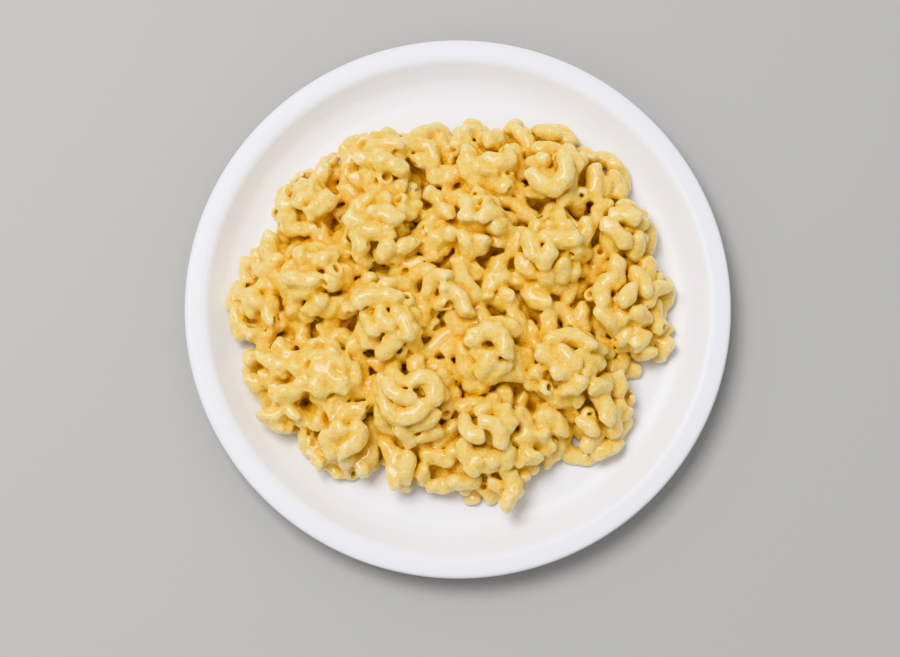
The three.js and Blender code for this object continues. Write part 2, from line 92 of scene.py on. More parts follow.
TUBE_RADIUS = 3.5  # with its coat of sauce, as they push each other apart
COAT_RADII = (3.5, 4.0)  # the thinnest tube and the thickest, as they look
TOP_RADIUS = 4.0  # of those laid on top
BEND_RADII = (5.0, 9.5)  # of the middle line, from the tightest elbow to the widest
ARC_LENGTHS = (10.5, 18.0)  # of the middle line, from the shortest elbow to the longest

# ---- shape of the heap ---------------------------------------------------------------

# The spoonfuls round the edge: degrees from +X, and how far each reaches from the middle.
EDGE_SPOONFULS = (
    (5, 91), (28, 86), (43, 93), (60, 90), (71, 85), (88, 80), (105, 81), (116, 80), (127, 87),
    (141, 88), (169, 91), (182, 97), (201, 95), (212, 94), (234, 91), (254, 83), (271, 82),
    (287, 88), (304, 77), (319, 92), (328, 87), (352, 93),
)  # fmt: skip
EDGE_RADIUS = 16.0
EDGE_HEIGHT = 19.0
# The clumps heaped up inside them: x, y, radius and height over the well.
CLUMPS = (
    (-28, -9, 22, 38), (-3, 2, 18, 35), (40, 52, 20, 31), (-58, 8, 22, 31), (-30, 28, 22, 34),
    (-30, 55, 19, 28), (-18, -41, 22, 33), (-52, -31, 19, 29), (-46, -56, 18, 25),
    (45, -27, 22, 31), (14, -22, 19, 34), (38, 21, 22, 34), (6, 31, 20, 35), (10, 56, 19, 28),
    (64, 30, 19, 27), (66, 2, 20, 27), (14, -55, 21, 28), (-62, 36, 18, 25),
)  # fmt: skip
MOUND = (0, 0, 78, 24)  # the low heap that they all lie on
# The elbows laid on top: x, y, which way the bend bulges in degrees from +X, how many degrees
# one end is lifted, the radius of the bend and the length of the middle line.
TOP_ELBOWS = (
    (14, -19, 70, 0, 7.2, 26), (24, -10, 25, 0, 9, 16), (19.5, -41.5, 0, 10, 20, 15),
    (8, -35.5, 80, 0, 14, 12), (46.5, -17.5, 85, 0, 12, 23), (38, -26, 45, 15, 10, 17),
    (37, -36, 200, 80, 9, 12), (54.5, -29.5, 150, 70, 9, 13), (60, -18, 45, 20, 8, 11),
    (69.5, -11, -30, 0, 9, 15), (71, -25, 80, 0, 20, 13), (65.5, -44.5, 90, 20, 12, 15),
    (51.5, -61, -100, 0, 16, 18), (36.5, -49, 20, 40, 12, 12), (25.5, -63, -100, 0, 9, 20),
    (9, -66, -30, 0, 14, 15), (6.5, -45, 100, 0, 14, 13), (22, -76, 10, 0, 8, 22),
    (38, 51.5, -60, 0, 6.8, 30), (36, 64, 90, 20, 8, 14), (56, 51, 0, 0, 16, 16),
    (68, 35.5, 85, 0, 14, 14), (66, 12.5, 180, 0, 14, 15), (50, 28, -30, 0, 9, 17),
    (42, 25, -90, 0, 14, 19), (28.5, 8, 90, 20, 6.5, 18), (14.5, 11, -20, 0, 20, 17),
    (1.5, 18, 0, 0, 20, 15), (9, 38, 0, 80, 9, 12), (27, 38.5, -130, 0, 16, 15),
    (12.5, 48.5, 80, 0, 18, 19), (24, 60, 200, 0, 14, 16), (-45, 65.5, 120, 0, 14, 13),
    (-37, 57, 95, 0, 16, 17), (-29, 54.5, 65, 0, 12, 16), (-15.5, 62, 45, 0, 5, 20),
    (-45, 49, 180, 0, 5.5, 18), (-58, 50, 160, 0, 14, 19), (-67.5, 47, 0, 70, 9, 12),
    (-48, 36, 135, 70, 9, 13), (-37, 28, -110, 0, 18, 23), (-30.5, 32, 75, 0, 14, 16),
    (-24.5, 38.5, 0, 70, 9, 12), (-16.5, 35, 90, 80, 9, 12), (-5, 26, -80, 0, 14, 18),
    (-24, 17, 120, 30, 8, 15), (-50.5, 10, 200, 85, 9, 13), (-64, 6, -90, 0, 9, 16),
    (-66, 14, 0, 60, 6, 13), (-32, -4, 100, 0, 14, 20), (-22, -13, 30, 0, 9, 16),
    (-35, -12, 200, 20, 8, 14), (-12.5, -20.5, -60, 0, 16, 26), (-53.5, -10.5, -30, 0, 14, 14),
    (-57, -26, 90, 85, 9, 13), (-40.5, -33, 0, 0, 14, 18), (-57, -34, 0, 0, 12, 15),
    (-13, -38, 60, 0, 5, 21), (-9, -29.5, 100, 0, 16, 16), (-27, -46, 210, 0, 10, 18),
    (-43, -49, 110, 0, 14, 18), (-76, -36, 30, 0, 10, 16), (-73, -46, -60, 0, 7, 18),
    (-45.5, -67, 0, 75, 8, 13), (-36.5, -66, -30, 0, 9, 15), (-23.5, -70, 180, 0, 9, 16),
    (-14, -72, 0, 70, 9, 13), (-7, -65.5, 80, 0, 16, 16), (-1, -2, 45, 0, 12, 19),
    (7, -5, 45, 0, 12, 15), (-77.5, -5.5, 180, 20, 8, 14), (-78, 21, 180, 0, 12, 14),
    (75, -15, -40, 0, 9, 11), (66, -33.5, 0, 0, 14, 13), (10, -77, 150, 0, 9, 15),
    (65, 51, 20, 0, 14, 13), (78, 15, 0, 0, 12, 12), (42, 12, 0, 40, 12, 12),
    (7, 11, 160, 10, 14, 10), (3.5, 58, 180, 0, 14, 15), (15, 58, -90, 0, 7, 16),
    (-7.5, 64, 30, 0, 9, 13), (-71, 36, 200, 0, 9, 12), (-58, 38, -45, 0, 16, 16),
    (-31, 39, 0, 80, 9, 12), (-19, 45, 180, 0, 12, 10), (-7, 51, 80, 0, 16, 15),
    (-14, 21, 45, 0, 10, 15), (-50, 18, 90, 0, 14, 13), (-89, 11, 180, 0, 14, 15),
    (-76, 4, 90, 0, 8, 15), (-15, -6, 0, 0, 12, 14), (-46, -18, 80, 0, 14, 11),
    (-65, -34, 180, 20, 9, 13), (-47, -33, 0, 0, 20, 17), (-17, -48, -60, 0, 9, 16),
    (-82, -25, 120, 0, 9, 12), (-72, -24, 30, 0, 14, 13), (-90, -9, 180, 0, 10, 16),
    (-66, -6, 60, 0, 9, 14), (-56, -64, 200, 0, 9, 14), (-5, -75.5, -80, 0, 12, 12),
)  # fmt: skip
# The gaps that the elbows leave between them: x, y and radius.
GAPS = (
    (13.6, -6.5, 3), (32, -8, 2), (42.5, -8, 2), (-1, -23, 2.4), (31, -43.5, 1.6),
    (51, -54.5, 1.8), (-1, -57.5, 2), (25, -38, 1.2), (36, -21, 1.3), (62.5, -15.5, 1.4),
    (32.5, 40.7, 2), (24, 51, 2.2), (51, 51.4, 2.2), (21.5, 31, 1.8), (15.5, 20, 2),
    (57.3, 26.5, 2), (63.5, 4, 1.5), (55.5, 6.5, 1.3), (-19, 55.5, 2.2), (-7.7, 48.5, 1.4),
    (-13, 41.7, 1.5), (-10.5, 34.3, 1.5), (-3.6, 38, 1.6), (-19.5, 29.3, 1.8), (-2.6, 59, 1.8),
    (-8.8, 15, 1.8), (-6, 10.5, 2.3), (-31.3, 14.5, 1.3), (-54, 31, 1.8), (-28, 46, 1.6),
    (-44, -12, 2.2), (-62, -43.5, 2.2), (-20, -31, 1.4), (-37.5, -41, 1.5), (-62, -15, 1.4),
    (-67, -23.5, 1.5), (-36, -57, 1.6), (-42.7, 7.5, 2),
)  # fmt: skip

# ---- how the elbows are poured and settle --------------------------------------------

# Which of an elbow's random draws settles each of its features.
(
    BEND_DRAW,
    LENGTH_DRAW,
    HEADING_DRAW,
    PITCH_DRAW,
    ROLL_DRAW,
    FIRST_END_DRAW,
    LAST_END_DRAW,
    COAT_DRAW,
) = range(8)
DRAW_STEPS = (12.9898, 78.233)  # from one elbow to the next and from one draw to the next
DRAW_SCALE = 43758.5453
LAYER_STEP = 5.0  # from one layer of elbows down to the next
ELBOW_SPACING = 10.5  # between the elbows of a layer
LAYER_TURN = 1.1  # radians from one layer to the next
GOLDEN_ANGLE = math.pi * (3 - math.sqrt(5))
MOST_TILT = 50.0  # degrees that an elbow is poured out of the level
BALLS = 5  # along each elbow, with which it pushes the others away
BALLS_SPAN = 0.86  # share of the elbow that they are spread over
CLOSENESS = 0.9  # how near two balls may come, as a share of where they just touch
SETTLE_STEPS = 60
FIRMNESS = 1.6  # how far a push moves an elbow, as a share of the mean push on its balls
FLOAT = 0.5  # share of its way to the outside that an outer elbow rises at each step
FLOAT_LEAST = 0.5  # share of the way out from which it rises no faster

# ---- how the heap's surface is worked out --------------------------------------------

GRID_CELL = 0.6  # from one node to the next
GRID_MARGIN = 5.0  # how far round an elbow its coat is reckoned with
GRID_UNDER = 1.0  # how far the grid goes on under the well's floor
NO_SAUCE = 1e-20  # what the sum starts from, far from every elbow
SAUCE_DEPTH = 8.0  # of the solid sauce under the top of the heap
SAUCE_INSET = 7.0  # of the solid sauce from the sides of the heap
FILLET_SOFTNESS = (0.15, 0.55)  # of the sauce where elbows meet, from the driest to the wettest
WET_SPAN = 200.0  # from the wettest side of the heap, at the left, to the driest
WET_PATCH = 26  # the size of its wetter and drier patches
LUMPS = (0.3, 1.1)  # how much they swell the coat, from the driest to the wettest
LUMP_SIZE = 4.5
CURDS = (0.4, 1.1)  # how much the finer grain of the sauce swells it
CURD_SIZE = 2.2
WET_SEED, LUMP_SEED, CURD_SEED = 3, 4, 5
CLOUD_SPREAD = 2.4  # of the random numbers, so that their blend stays mostly from -1 to 1
LIP_ROUND = 3.0  # of the coated ends
BORE_RADIUS = 1.2  # deep in an open end
BORE_FLARE = 0.55  # how much wider it is at its mouth
BORE_DEPTH = 4.0
BORE_SOFTNESS = 0.6  # of the edge between an open end and its bore
OPEN_ENDS = 0.45  # share of the ends that sauce hasn't closed
GAP_DEPTH = 11.0  # under the top of the heap
GAP_FLOOR = 4.0  # the least sauce that stays under one
GAP_LINING = 0.3  # of sauce that stays on the elbows in a gap
GAP_WIDENING = 2.0  # how much wider than the gap itself the sauce is cleared
LEAST_BODY = 100.0  # cubic millimetres: a smaller closed body is a loose scrap
HEAP_TRIANGLES = 195_000
LEAST_STEEPNESS = 1e-3  # these three keep a division from being by nought
LEAST_DISTANCE = 1e-9
LEAST_ANGLE = 1e-12

# ---- finish of the porcelain ---------------------------------------------------------

GLAZE_ROUGHNESS = 0.3
GLAZE_IOR = 1.5
WAVE_SCALE = 45.0  # waves in a metre
WAVE_STRENGTH = 0.02
WAVE_HEIGHT = 0.001  # metres

# ---- finish of the sauce, with painted shade and highlight in its colour -------------

# The sauce's colour follows shelter. Its hollows, creases and gaps get painted shade from amber to
# brown. Its proudest crests are paler, partly from thinner sauce and partly from painted highlight.
SHELTER_REACHES = (3.0, 9.0)  # of the two measures of how sheltered a place is
WIDE_SHARE = 0.4  # of the second in the whole measure
SHADE_AND_HIGHLIGHT_STOPS = (0.1, 0.36, 0.52, 0.7, 0.9)  # of shelter, from the crests' painted highlight to the gaps' painted shade
COAT = 1.0  # how wet the proudest places are
COAT_SPAN = (0.4, 0.8)  # of shelter, over which the wetness fades away
COAT_ROUGHNESS = 0.12
COAT_IOR = 1.7
SAUCE_ROUGHNESS = 0.38  # under the wet coat
SAUCE_GLOSS = 0.35
SAUCE_IOR = 1.42
SINK_IN = 0.7  # share of the light that goes in under the surface
SINK_DEPTH = 0.002  # metres that it spreads
SINK_REACH = (1.0, 0.9, 0.5)  # of red, green and blue light, as shares of the depth
PATCH_SCALE = 300.0  # patches in a metre
PATCH_ROUGHNESS = 0.85
PATCH_SPAN = (0.3, 0.7)  # of the noise, from the palest patches to the deepest
PATCH_STRENGTH = 0.26  # how far they shift the sauce's colour along its stops
GRAIN_SCALE = 700.0  # grains in a metre
GRAIN_STRENGTH = 0.8
GRAIN_HEIGHT = 0.0008  # metres

# ---- stage ---------------------------------------------------------------------------

FLOOR_REACH = 3000  # from the middle to each side
FLOOR_ROUGHNESS = 0.6
CAMERA_PLACE = (0, -0.1555, 0.8896)  # metres
CAMERA_TARGET = (-0.00305, -0.01093, 0.0167)  # metres
CAMERA_LENS = 85  # the focal length
KEY_BEARING = 141.0  # degrees from +X, in plan
KEY_HEIGHT = 65.0  # degrees over the horizon
KEY_DISTANCE = 2.4  # metres
KEY_SIZE = 1.2  # metres


def radians(degrees):
    """Angles in degrees, as radians."""
    return np.asarray(degrees) * (math.pi / 180)


def draw(i, k):
    """A repeatable random number from 0 to 1 for each elbow number i, its draw number k: what is
    left after the point of a large multiple of a sine."""
    angle = (np.asarray(i) + 1) * DRAW_STEPS[0] + (k + 1) * DRAW_STEPS[1]
    large = np.sin(angle) * DRAW_SCALE
    return large - np.floor(large)


def between(limits, share):
    """What lies a share of the way from the first limit to the second."""
    return limits[0] + (limits[1] - limits[0]) * share


# ---- meshes --------------------------------------------------------------------------


def make_mesh(name, points, faces, material):
    """A smooth-shaded object from points in millimetres and a list of faces."""
    mesh = bpy.data.meshes.new(name)
    mesh.from_pydata((np.asarray(points) * MM).tolist(), [], faces)
    mesh.polygons.foreach_set("use_smooth", np.ones(len(mesh.polygons), bool))
    mesh.update()
    piece = bpy.data.objects.new(name, mesh)
    bpy.context.scene.collection.objects.link(piece)
    mesh.materials.append(material)
    return piece


def lathe(profile, sides):
    """A profile of (radius, height) turned about Z: the point for profile point i and side j is
    (radius_i cos a_j, radius_i sin a_j, height_i), a_j = 2 pi j / sides. The profile's ends are
    on the axis, and each becomes one point."""
    angle = 2 * math.pi * np.arange(sides) / sides
    radius, height = profile[1:-1].T
    ring = np.stack(
        [
            radius[:, None] * np.cos(angle),
            radius[:, None] * np.sin(angle),
            np.broadcast_to(height[:, None], (len(height), sides)),
        ],
        axis=2,
    )
    points = np.vstack([ring.reshape(-1, 3), [[0, 0, profile[0, 1]], [0, 0, profile[-1, 1]]]])
    index = np.arange(len(radius) * sides).reshape(len(radius), sides)
    after = np.roll(index, -1, axis=1)
    quads = np.stack([index[:-1], after[:-1], after[1:], index[1:]], axis=2).reshape(-1, 4)
    first = np.stack([after[0], index[0], np.full(sides, len(points) - 2)], axis=1)
    last = np.stack([index[-1], after[-1], np.full(sides, len(points) - 1)], axis=1)
    return points, quads.tolist() + first.tolist() + last.tolist()


# ---- plate ---------------------------------------------------------------------------


def bend_between(start, control, end, steps):
    """Points of the curve (1-t)^2 start + 2t(1-t) control + t^2 end, without its start."""
    start, control, end = np.array([start, control, end])
    t = np.arange(1, steps + 1)[:, None] / steps
    return (1 - t) ** 2 * start + 2 * t * (1 - t) * control + t**2 * end


def arc_between(radius, start, end, steps):
    """Points on the circle round the well's curve centre, from one angle in degrees to another."""
    angle = radians(np.linspace(start, end, steps + 1))
    return np.stack(
        [WELL_RADIUS + radius * np.cos(angle), CURVE_CENTRE + radius * np.sin(angle)], axis=1
    )


def plate_profile():
    """The plate's section: out along the underside, round the edge and in along the top."""
    underside = WELL_FLOOR - WALL_THICKNESS
    foot_inside = FOOT_RADIUS - FOOT_WIDTH
    foot_outside = (FOOT_RADIUS - FOOT_ROUND, 0)
    shoulder = PLATE_RADIUS - RIM_WIDTH
    shoulder_top = PLATE_HEIGHT - RIM_RISE
    rim_bottom = PLATE_HEIGHT - RIM_THICKNESS
    edge = PLATE_HEIGHT - RIM_THICKNESS / 2
    under_turn = (shoulder + UNDER_TURN[0], rim_bottom + UNDER_TURN[1])
    under_edge = (PLATE_RADIUS - EDGE_ROUND, rim_bottom)
    tip = (PLATE_RADIUS, edge)
    top_edge = (PLATE_RADIUS - EDGE_ROUND, PLATE_HEIGHT)
    rim_start = (shoulder + SHOULDER_ROUND, shoulder_top + SHOULDER_LIFT)
    wall_top = (shoulder - SHOULDER_ROUND, shoulder_top - SHOULDER_ROUND)
    outside = arc_between(WELL_CURVE + WALL_THICKNESS, -90, STEEPEST, UNDER_STEPS)
    inside = arc_between(WELL_CURVE, STEEPEST, -90, WELL_STEPS)
    parts = [
        [(0, FOOT_RECESS), (foot_inside - FOOT_ROUND, FOOT_RECESS)],
        [(foot_inside - FOOT_EASE, FOOT_RECESS * FOOT_SLOPE), (foot_inside, FOOT_LIFT)],
        [(foot_inside + FOOT_EASE, 0), foot_outside],
        bend_between(
            foot_outside, (FOOT_RADIUS, underside), (FOOT_RADIUS + FOOT_WIDTH, underside), BEND_STEPS
        ),
        outside,
        bend_between(outside[-1], under_turn, under_edge, BEND_STEPS),
        bend_between(under_edge, (PLATE_RADIUS, rim_bottom), tip, EDGE_STEPS),
        bend_between(tip, (PLATE_RADIUS, PLATE_HEIGHT), top_edge, EDGE_STEPS),
        np.linspace(top_edge, rim_start, BORDER_STEPS)[1:],
        bend_between(rim_start, (shoulder, shoulder_top), wall_top, BEND_STEPS),
        inside,
        [(WELL_RADIUS * share, WELL_FLOOR) for share in WELL_RINGS],
    ]
    return np.vstack(parts)


# ---- spoonfuls -----------------------------------------------------------------------


def make_spoonfuls():
    """Rows of x, y, radius and height: half an ellipsoid each, standing on the well's floor."""
    degrees, reach = np.array(EDGE_SPOONFULS, float).T
    middle = reach - EDGE_RADIUS
    edge = np.stack(
        [
            middle * np.cos(radians(degrees)),
            middle * np.sin(radians(degrees)),
            np.full(len(middle), EDGE_RADIUS),
            np.full(len(middle), EDGE_HEIGHT),
        ],
        axis=1,
    )
    return np.vstack([edge, CLUMPS, MOUND])


def deepest(spoonfuls, points, depth):
    """For each point, the spoonful that it is deepest in once all are pared by a depth, and its
    share of the way from that one's middle to its outside."""
    out = points[:, None, :2] - spoonfuls[None, :, :2]
    wide = spoonfuls[:, 2] - depth
    high = spoonfuls[:, 3] - depth
    up = (points[:, 2] - WELL_FLOOR)[:, None]
    share = np.sqrt((out**2).sum(2) / wide**2 + (up / high) ** 2)
    which = share.argmin(1)
    return share[np.arange(len(points)), which], which


def height_at(spoonfuls, x, y, depth):
    """How high the spoonfuls, pared by a depth, stand over the well's floor at places."""
    out = np.hypot(x[:, None] - spoonfuls[:, 0], y[:, None] - spoonfuls[:, 1])
    share = np.minimum(out / (spoonfuls[:, 2] - depth), 1)
    return ((spoonfuls[:, 3] - depth) * np.sqrt(1 - share**2)).max(1)


# ---- elbows --------------------------------------------------------------------------


class Elbows:
    """Every elbow of the heap, as arrays with a row for each: the bend of its middle line, the
    angle that it sweeps, its turn as a matrix and its place. They are made from rows of x, y, z,
    the turns about Z, Y and X in degrees, the bend, the length, the tube's radius and how much
    it rises to the outside of the heap, and the first few hold still."""

    def __init__(self, rows, held):
        heading, roll, pitch = radians(rows[:, 3:6].T)
        self.held = held
        self.bend, length, self.radius, self.rise = rows[:, 6:].T
        self.sweep = length / self.bend
        along = BALLS_SPAN * (np.arange(BALLS) / (BALLS - 1) - 0.5)
        angle = self.sweep[:, None] * along
        arc = np.stack([np.cos(angle), np.sin(angle), 0 * angle], axis=2)
        arc *= self.bend[:, None, None]
        self.middle = arc.mean(1)
        self.balls = arc - self.middle[:, None]
        self.spread = (self.balls**2).sum((1, 2))
        self.turn = turn_about(2, heading) @ turn_about(1, roll) @ turn_about(0, pitch)
        self.place = rows[:, :3].copy()

    def balls_now(self):
        """Where each elbow's balls are, after its turn and at its place."""
        return np.einsum("nij,nbj->nbi", self.turn, self.balls) + self.place[:, None]


def turn_about(axis, angle):
    """The matrices of turns by each angle about X, Y or Z (axis 0, 1 or 2)."""
    turn = np.zeros((len(angle), 3, 3))
    a, b = (axis + 1) % 3, (axis + 2) % 3
    turn[:, axis, axis] = 1
    turn[:, a, a] = turn[:, b, b] = np.cos(angle)
    turn[:, b, a] = np.sin(angle)
    turn[:, a, b] = -np.sin(angle)
    return turn


def turn_by(spin):
    """The matrices of turns about each spin vector by its length: Rodrigues' formula
    I + sin(a) K + (1 - cos(a)) K K, with K the cross-product matrix of the unit axis."""
    angle = np.linalg.norm(spin, axis=1)
    axis = spin / np.maximum(angle, LEAST_ANGLE)[:, None]
    cross = np.zeros((len(spin), 3, 3))
    cross[:, 0, 1], cross[:, 0, 2], cross[:, 1, 2] = -axis[:, 2], axis[:, 1], -axis[:, 0]
    cross -= cross.transpose(0, 2, 1)
    sine = np.sin(angle)[:, None, None]
    rest = (1 - np.cos(angle))[:, None, None]
    return np.eye(3) + sine * cross + rest * cross @ cross


def lay_elbows(spoonfuls):
    """The rows of the elbows on top, each with its middle or its lifted end at the surface."""
    x, y, heading, lift, bend, length = np.array(TOP_ELBOWS, float).T
    sunk = (length / 2 - TUBE_RADIUS) * np.sin(radians(lift))
    z = WELL_FLOOR + height_at(spoonfuls, x, y, TUBE_RADIUS) - sunk
    radius = np.full(len(x), TOP_RADIUS)
    return np.stack([x, y, z, heading, 0 * x, lift, bend, length, radius, 0 * x], axis=1)


def pour_elbows(spoonfuls, first):
    """Rows of elbows in layers, one under the other from the outside of the spoonfuls down,
    each layer spread as a sunflower's seeds: seed n is at spacing/sqrt(pi) * sqrt(n + 0.5) from
    the middle, n golden angles round. The first elbow has a number of its own for its draws."""
    seed_step = ELBOW_SPACING / math.sqrt(math.pi)
    n = np.arange(math.ceil((PLATE_RADIUS / seed_step) ** 2))
    distance = seed_step * np.sqrt(n + 0.5)
    places = []
    rises = []
    for layer, depth in enumerate(np.arange(0, spoonfuls[:, 3].max(), LAYER_STEP)):
        angle = n * GOLDEN_ANGLE + layer * LAYER_TURN
        x, y = distance * np.cos(angle), distance * np.sin(angle)
        height = height_at(spoonfuls, x, y, TUBE_RADIUS) - depth
        seeds = np.stack([x, y, WELL_FLOOR + height], axis=1)[height > TUBE_RADIUS]
        places.append(seeds)
        rises.append(np.full(len(seeds), FLOAT if layer == 0 else 0))
    place = np.vstack(places)
    i = first + np.arange(len(place))
    heading = 360 * draw(i, HEADING_DRAW)
    pitch = MOST_TILT * (2 * draw(i, PITCH_DRAW) - 1)
    roll = MOST_TILT * (2 * draw(i, ROLL_DRAW) - 1)
    bend = between(BEND_RADII, draw(i, BEND_DRAW))
    length = between(ARC_LENGTHS, draw(i, LENGTH_DRAW))
    radius = between(COAT_RADII, draw(i, COAT_DRAW))
    rise = np.concatenate(rises)
    return np.column_stack([place, heading, roll, pitch, bend, length, radius, rise])


def pushes_apart(at, owner):
    """How far each ball has to go to clear the balls of other elbows."""
    touching = 2 * TUBE_RADIUS * CLOSENESS
    length = (at**2).sum(1)
    squared = length[:, None] + length[None] - 2 * at @ at.T
    a, b = np.nonzero((squared < touching**2) & (owner[:, None] != owner[None]))
    apart = at[a] - at[b]
    distance = np.maximum(np.linalg.norm(apart, axis=1), LEAST_DISTANCE)
    apart *= (np.maximum(touching - distance, 0) / (2 * distance))[:, None]
    return np.stack([np.bincount(a, apart[:, axis], len(at)) for axis in range(3)], axis=1)


def lowest(at):
    """The lowest that each ball lies in the well: on its floor or against the wall's curve."""
    room = WELL_CURVE - TUBE_RADIUS
    out = np.clip(np.hypot(at[:, 0], at[:, 1]) - WELL_RADIUS, 0, room)
    return CURVE_CENTRE - np.sqrt(room**2 - out**2)


def push_from_gaps(at):
    """What brings each ball out of the upright gaps."""
    x, y, radius = np.array(GAPS).T
    across = at[:, None, :2] - np.stack([x, y], axis=1)
    distance = np.maximum(np.linalg.norm(across, axis=2), LEAST_DISTANCE)
    short = np.maximum(0, radius + TUBE_RADIUS - distance)
    push = np.zeros_like(at)
    push[:, :2] = (across * (short / distance)[:, :, None]).sum(1)
    return push


def push_inside(spoonfuls, at, rise):
    """What brings each ball back over the plate and inside the spoonfuls, or, where it rises,
    up to their outside."""
    push = np.zeros_like(at)
    push[:, 2] = np.maximum(0, lowest(at) - at[:, 2])
    share, which = deepest(spoonfuls, at, TUBE_RADIUS)
    middle = np.column_stack([spoonfuls[which, :2], np.full(len(at), WELL_FLOOR)])
    beyond = 1 - 1 / np.maximum(share, FLOAT_LEAST)
    return push + (middle - at) * np.where(beyond > 0, beyond, beyond * rise)[:, None]


def settle(elbows, spoonfuls):
    """Moves and turns the elbows, as the pushes on their balls ask, until they lie together."""
    owner = np.repeat(np.arange(len(elbows.place)), BALLS)
    rise = np.repeat(elbows.rise, BALLS)
    for _ in range(SETTLE_STEPS):
        at = elbows.balls_now()
        flat = at.reshape(-1, 3)
        push = pushes_apart(flat, owner) + push_inside(spoonfuls, flat, rise)
        push += push_from_gaps(flat)
        push = push.reshape(at.shape)
        push[: elbows.held] = 0
        arms = at - elbows.place[:, None]
        spin = np.cross(arms, push).sum(1) / elbows.spread[:, None]
        elbows.place += push.sum(1) * (FIRMNESS / BALLS)
        elbows.turn = turn_by(spin) @ elbows.turn


# ---- surface of the heap -------------------------------------------------------------


class Grid:
    """A box of space in cells, with the places of its nodes along each axis."""

    def __init__(self, low, high, cell):
        self.low = np.array(low, float)
        self.cell = cell
        counts = np.ceil((np.array(high) - self.low) / cell).astype(int) + 1
        self.axes = [self.low[k] + cell * np.arange(counts[k]) for k in range(3)]
        self.shape = tuple(counts)

    def part(self, middle, reach):
        """The slices of the grid within a reach of a point, and their places."""
        first = np.maximum(((middle - reach - self.low) / self.cell).astype(int), 0)
        last = np.minimum(((middle + reach - self.low) / self.cell).astype(int) + 2, self.shape)
        cut = tuple(slice(a, b) for a, b in zip(first, last))
        x, y, z = (self.axes[k][cut[k]].astype(np.float32) for k in range(3))
        return cut, x[:, None, None], y[None, :, None], z[None, None, :]

    def sample(self, values, points):
        """The values at points, blended linearly between the eight nodes round each."""
        at = (points - self.low) / self.cell
        base = np.clip(at.astype(int), 0, np.array(self.shape) - 2)
        share = at - base
        total = np.zeros(len(points))
        for corner in np.ndindex(2, 2, 2):
            weight = np.prod(np.where(corner, share, 1 - share), axis=1)
            x, y, z = (base + corner).T
            total += weight * values[x, y, z]
        return total


def cloud(grid, size, seed):
    """Smooth noise from about -1 to 1 over the grid: random numbers a size apart, each spread
    over its neighbours by the cubic B-spline along X, Y and Z in turn."""
    lattice = [math.ceil(count * grid.cell / size) + 4 for count in grid.shape]
    random = np.random.default_rng(seed)
    values = random.uniform(-CLOUD_SPREAD, CLOUD_SPREAD, lattice).astype(np.float32)
    for count, knots in zip(grid.shape, lattice):
        away = np.abs(np.arange(count)[:, None] * grid.cell / size + 1 - np.arange(knots))
        near = 2 / 3 - away**2 + away**3 / 2
        far = np.maximum(2 - away, 0) ** 3 / 6
        weight = np.where(away < 1, near, far).astype(np.float32)
        values = np.tensordot(values, weight, axes=(0, 1))
    return values


def smooth_least(a, b, softness):
    """The lesser of a and b, with the corner between them rounded."""
    blend = np.clip(0.5 + 0.5 * (b - a) / softness, 0, 1)
    return b + (a - b) * blend - softness * blend * (1 - blend)


def elbow_distance(elbows, i, x, y, z):
    """How far points are outside elbow i: a tube round its arc with flat ends and rounded lips,
    less a flared bore at each open end. In the arc's plane, across = distance from the middle
    line, past = distance past the plane of the nearer end."""
    turn, place, middle = elbows.turn[i], elbows.place[i], elbows.middle[i]
    dx, dy, dz = x - place[0], y - place[1], z - place[2]
    u, v, w = (turn[0, k] * dx + turn[1, k] * dy + turn[2, k] * dz + middle[k] for k in range(3))
    half = elbows.sweep[i] / 2
    across = np.hypot(np.hypot(u, v) - elbows.bend[i], w)
    past = np.abs(v) * math.cos(half) - u * math.sin(half)
    side = across - elbows.radius[i] + LIP_ROUND
    end = past + LIP_ROUND
    rounded = np.hypot(np.maximum(side, 0), np.maximum(end, 0))
    tube = np.minimum(np.maximum(side, end), 0) + rounded - LIP_ROUND
    first_open = draw(i, FIRST_END_DRAW) < OPEN_ENDS
    last_open = draw(i, LAST_END_DRAW) < OPEN_ENDS
    open_here = np.where(v > 0, first_open, last_open)
    flare = BORE_FLARE * np.exp(np.minimum(past, 0) / BORE_FLARE)
    bore = np.maximum(across - BORE_RADIUS - flare, -past - BORE_DEPTH)
    bore = np.where(open_here, bore, GRID_MARGIN)
    return -smooth_least(-tube, bore, BORE_SOFTNESS)


def well_distance(x, y, z):
    """How far points are below the plate's well, raised by the gap."""
    out = np.hypot(x, y) - WELL_RADIUS
    curve = np.hypot(out, z - CURVE_CENTRE) - (WELL_CURVE - PLATE_GAP)
    floor = WELL_FLOOR + PLATE_GAP - z + 0 * out
    return np.where(out > 0, curve, floor)


def spoonful_distance(spoonful, x, y, z):
    """About how far points are outside a spoonful that is pared down to its solid sauce."""
    middle_x, middle_y, radius, height = spoonful
    wide = radius - SAUCE_INSET
    high = height - SAUCE_DEPTH
    u, v, w = x - middle_x, y - middle_y, z - WELL_FLOOR
    share = np.sqrt((u**2 + v**2) / wide**2 + (w / high) ** 2)
    steepness = np.sqrt((u**2 + v**2) / wide**4 + w**2 / high**4)
    return (share - 1) * share / np.maximum(steepness, LEAST_STEEPNESS)


